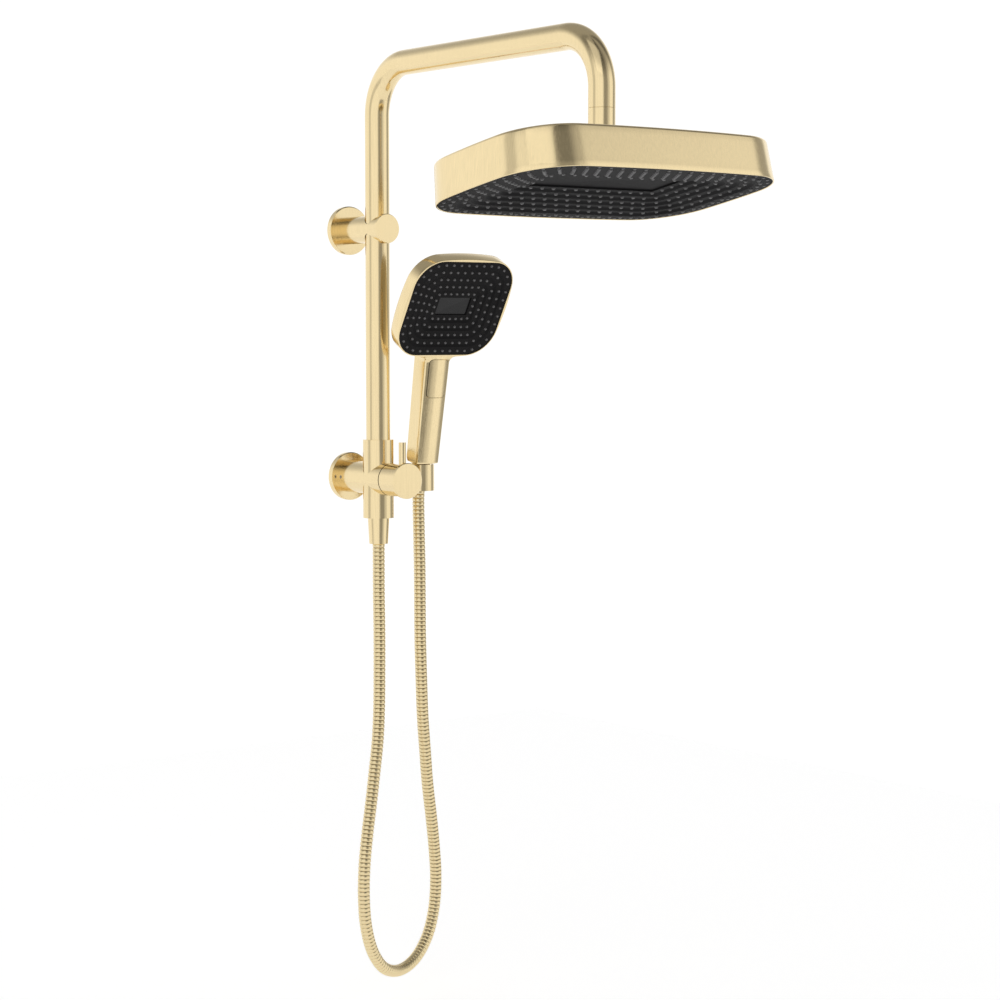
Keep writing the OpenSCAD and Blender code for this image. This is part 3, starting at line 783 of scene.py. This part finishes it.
MATERIALS = {
    "gold": brushed_gold("gold_brushed", GOLD, UPRIGHT_GRAIN, rough=0.14),
    "gold_hose": brushed_gold("gold_hose_strip", GOLD_HOSE, EVEN_GRAIN, rough=0.18),
    "brass": plain_metal("brass_turned", BRASS, rough=0.28),
    "steel": plain_metal("steel_plain", STEEL, rough=0.30),
    "black_trim": fine_plastic("black_trim", BLACK_TRIM, rough=0.42),
    "rubber": fine_plastic("rubber_black", RUBBER, rough=0.62),
    "black_face": fine_plastic("black_face", BLACK_FACE, rough=0.62, shine=0.05),
    "nozzle_grey": fine_plastic("nozzle_silicone", NOZZLE_GREY, rough=0.50, shine=0.4),
    "nylon": fine_plastic("nylon_natural", NYLON, rough=0.45),
}
# Painted shade: the hose's gold made darker for its grooves.
hose_painted_shade = brushed_gold("gold_hose_painted_shade", PAINTED_SHADE_GOLD, EVEN_GRAIN, rough=0.30)
panel_gloss = fine_plastic("black_panel_gloss", BLACK_PANEL, rough=0.25, depth=0.00001, shine=0.3)
# Painted shade: the face's black made darker for the risers.
riser_painted_shade = fine_plastic("black_riser_painted_shade", PAINTED_SHADE_BLACK, rough=0.62, shine=0.05)


def dress(obj, *mats):
    """Puts the first material in all the slots of an object, and adds the others as new slots."""
    slots = obj.data.materials
    if not slots:
        slots.append(mats[0])
    for i in range(len(slots)):
        slots[i] = mats[0]
    for mat in mats[1:]:
        slots.append(mat)


slot_of = {s["node"]: s["material_slot"] for s in frame["record"]["subparts"]}
for node, obj in frame["nodes"].items():
    dress(obj, MATERIALS[slot_of[node]])
dress(frame["nodes"]["handset_centre_panel"], panel_gloss)
# The hose's grooves get the darker gold as painted shade.
dress(hose, MATERIALS["gold_hose"], hose_painted_shade)
for piece in (riser, rain_shell, handset_shell):
    dress(piece, MATERIALS["gold"])
# The risers of both faces get the darker black as painted shade.
for piece in (rain_face, handset_face):
    dress(piece, MATERIALS["black_face"], riser_painted_shade)

# The button's crisp edges are rounded.
BUTTON_EDGE = 0.5 * MM
BUTTON_EDGE_STEPS = 3
BUTTON_EDGE_LIMIT = 35

bevel = frame["nodes"]["spray_button"].modifiers.new("soft_edges", "BEVEL")
bevel.width = BUTTON_EDGE
bevel.segments = BUTTON_EDGE_STEPS
bevel.limit_method = "ANGLE"
bevel.angle_limit = math.radians(BUTTON_EDGE_LIMIT)

# ---- floor ----

FLOOR_HALF = 1.3
FLOOR_GAP = 0.02
FLOOR_TONE = 0.93
FLOOR_ROUGH = 0.8
FLOOR_GLOW = 0.55

floor_z = cad_box[0][2] - FLOOR_GAP
floor = link_mesh(
    "floor",
    [(x * FLOOR_HALF, y * FLOOR_HALF, floor_z) for x, y in ((-1, -1), (1, -1), (1, 1), (-1, 1))],
    [(0, 1, 2, 3)],
    smooth=False,
)
floor_mat, _, _, floor_shader = principled("floor_pale")
floor_shader.inputs["Base Color"].default_value = (*grey(FLOOR_TONE), 1)
floor_shader.inputs["Roughness"].default_value = FLOOR_ROUGH
floor_shader.inputs["Emission Color"].default_value = (1, 1, 1, 1)
floor_shader.inputs["Emission Strength"].default_value = FLOOR_GLOW
dress(floor, floor_mat)

# ---- light ----

ROOM_LEVEL = 1.05
CEILING_LEVEL = 0.35
CEILING_FROM, CEILING_TO = 0.25, 0.75
# Dark upright panels in a white room. For each: its direction in the horizontal plane, the
# degrees from there to the end of its full dark and to its edge, and the share of light it takes.
DARK_PANELS = (
    ((-0.957, 0.29, 0), 3, 15, 0.35),
    ((-0.12, -0.993, 0), 9, 26, 0.68),
    ((0.36, -0.933, 0), 3, 12, 0.30),
    ((0.988, -0.154, 0), 6, 22, 0.60),
)
KEY_PLACE, KEY_TARGET = (-1.6, -1.6, 2.4), (0, -0.25, 0.1)
KEY_SIZE, KEY_POWER = 2.4, 6


def room_light(world):
    """White room with dark upright panels and a dim ceiling, seen by the camera as plain white."""
    nodes, links = world.node_tree.nodes, world.node_tree.links

    def feed(socket, value):
        if isinstance(value, bpy.types.NodeSocket):
            links.new(value, socket)
        else:
            socket.default_value = value

    def combine(kind, operation, first, second=None):
        """Output of a Math or Vector Math node."""
        node = nodes.new(kind)
        node.operation = operation
        feed(node.inputs[0], first)
        if second is not None:
            feed(node.inputs[1], second)
        return node.outputs["Value" if operation == "DOT_PRODUCT" else 0]

    def smooth_range(source, start, stop, low, high):
        node = nodes.new("ShaderNodeMapRange")
        node.interpolation_type = "SMOOTHSTEP"
        for name, value in (
            ("Value", source), ("From Min", start), ("From Max", stop),
            ("To Min", low), ("To Max", high),
        ):
            feed(node.inputs[name], value)
        return node.outputs["Result"]

    ray = nodes.new("ShaderNodeTexCoord").outputs["Generated"]
    flat = combine("ShaderNodeVectorMath", "MULTIPLY", ray, (1, 1, 0))
    flat = combine("ShaderNodeVectorMath", "NORMALIZE", flat)
    height = nodes.new("ShaderNodeSeparateXYZ")
    links.new(ray, height.inputs[0])
    level = smooth_range(height.outputs["Z"], CEILING_FROM, CEILING_TO, ROOM_LEVEL, CEILING_LEVEL)
    for direction, inner, outer, depth in DARK_PANELS:
        near = combine("ShaderNodeVectorMath", "DOT_PRODUCT", flat, direction)
        start, stop = math.cos(math.radians(outer)), math.cos(math.radians(inner))
        panel = smooth_range(near, start, stop, 1.0, 1.0 - depth)
        level = combine("ShaderNodeMath", "MULTIPLY", level, panel)
    seen = nodes.new("ShaderNodeLightPath").outputs["Is Camera Ray"]
    plain = combine("ShaderNodeMath", "MULTIPLY", seen, ROOM_LEVEL)
    level = combine("ShaderNodeMath", "MAXIMUM", level, plain)
    feed(nodes["Background"].inputs["Strength"], level)
    feed(nodes["Background"].inputs["Color"], (1, 1, 1, 1))


def key_light():
    data = bpy.data.lights.new("key", "AREA")
    data.shape = "RECTANGLE"
    data.size = data.size_y = KEY_SIZE
    data.energy = KEY_POWER
    obj = link_object("key", data)
    obj.location = KEY_PLACE
    aim = Vector(KEY_TARGET) - Vector(KEY_PLACE)
    obj.rotation_euler = aim.to_track_quat("-Z", "Y").to_euler()


studio = bpy.data.worlds.new("studio")
studio.use_nodes = True
bpy.context.scene.world = studio
bpy.context.scene.view_settings.view_transform = "Standard"
room_light(studio)
key_light()
